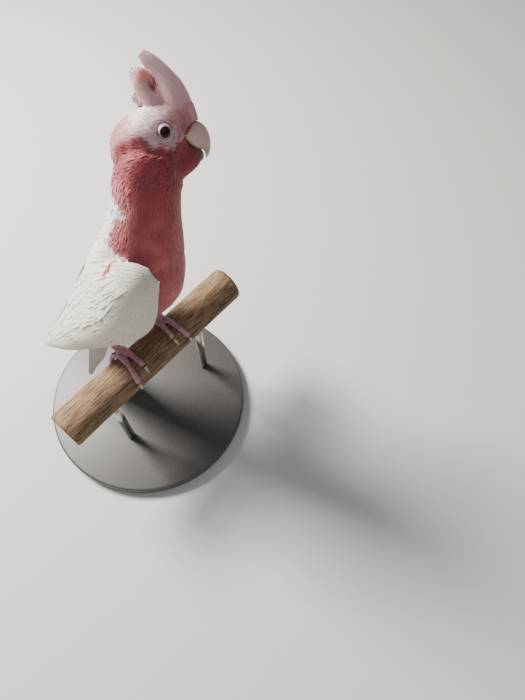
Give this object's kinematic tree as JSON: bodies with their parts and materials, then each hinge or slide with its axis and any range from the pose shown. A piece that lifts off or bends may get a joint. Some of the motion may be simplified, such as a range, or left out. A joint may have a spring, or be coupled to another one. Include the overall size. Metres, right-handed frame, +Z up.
{
  "type": "galah parrot museum model on a perch",
  "caption": "Life-size still model of a pale pink and white galah with raised crest, standing tall on a cut branch held by a plain round stand.",
  "frame": {"origin": "middle of the underside of the stand's base", "axes": "+Z up; the bird's trunk faces -Y and its left side is +X"},
  "size_m": [0.207, 0.207, 0.3667],
  "materials": {
    "white_feather": "soft matt white feathers with a faint cream cast",
    "rose_feather": "soft matt deep rose feathers",
    "blush_feather": "soft matt pale pink feathers",
    "bill_horn": "pale horn with a dusty satin surface",
    "claw_horn": "smooth pale horn claws",
    "bare_eye_skin": "bare wrinkled pale lilac skin",
    "eye": "wet dark eye",
    "foot_skin": "scaly mauve pink skin",
    "bare_wood": "weathered bare branch",
    "stand_base_paint": "plain dark satin paint",
    "stand_rod_steel": "brushed"
  },
  "bodies": {
    "root": {"bill_lower": "bill_horn", "bill_upper": "bill_horn", "claw_left_inner_back": "claw_horn", "claw_left_inner_front": "claw_horn", "claw_left_outer_back": "claw_horn", "claw_left_outer_front": "claw_horn", "claw_right_inner_back": "claw_horn", "claw_right_inner_front": "claw_horn", "claw_right_outer_back": "claw_horn", "claw_right_outer_front": "claw_horn", "crest_finger": "blush_feather", "crest_front": "blush_feather", "crest_rear": "blush_feather", "eye_left": "eye", "eye_right": "eye", "eye_ring_left": "bare_eye_skin", "eye_ring_right": "bare_eye_skin", "foot_left": "foot_skin", "foot_right": "foot_skin", "head": "blush_feather", "neck": "rose_feather", "perch": "bare_wood", "stand_base": "stand_base_paint", "stand_rod_left": "stand_rod_steel", "stand_rod_right": "stand_rod_steel", "tail": "white_feather", "thigh_left": "white_feather", "thigh_right": "white_feather", "trunk": "rose_feather", "wing_left": "white_feather", "wing_right": "white_feather"}
  },
  "joints": []
}
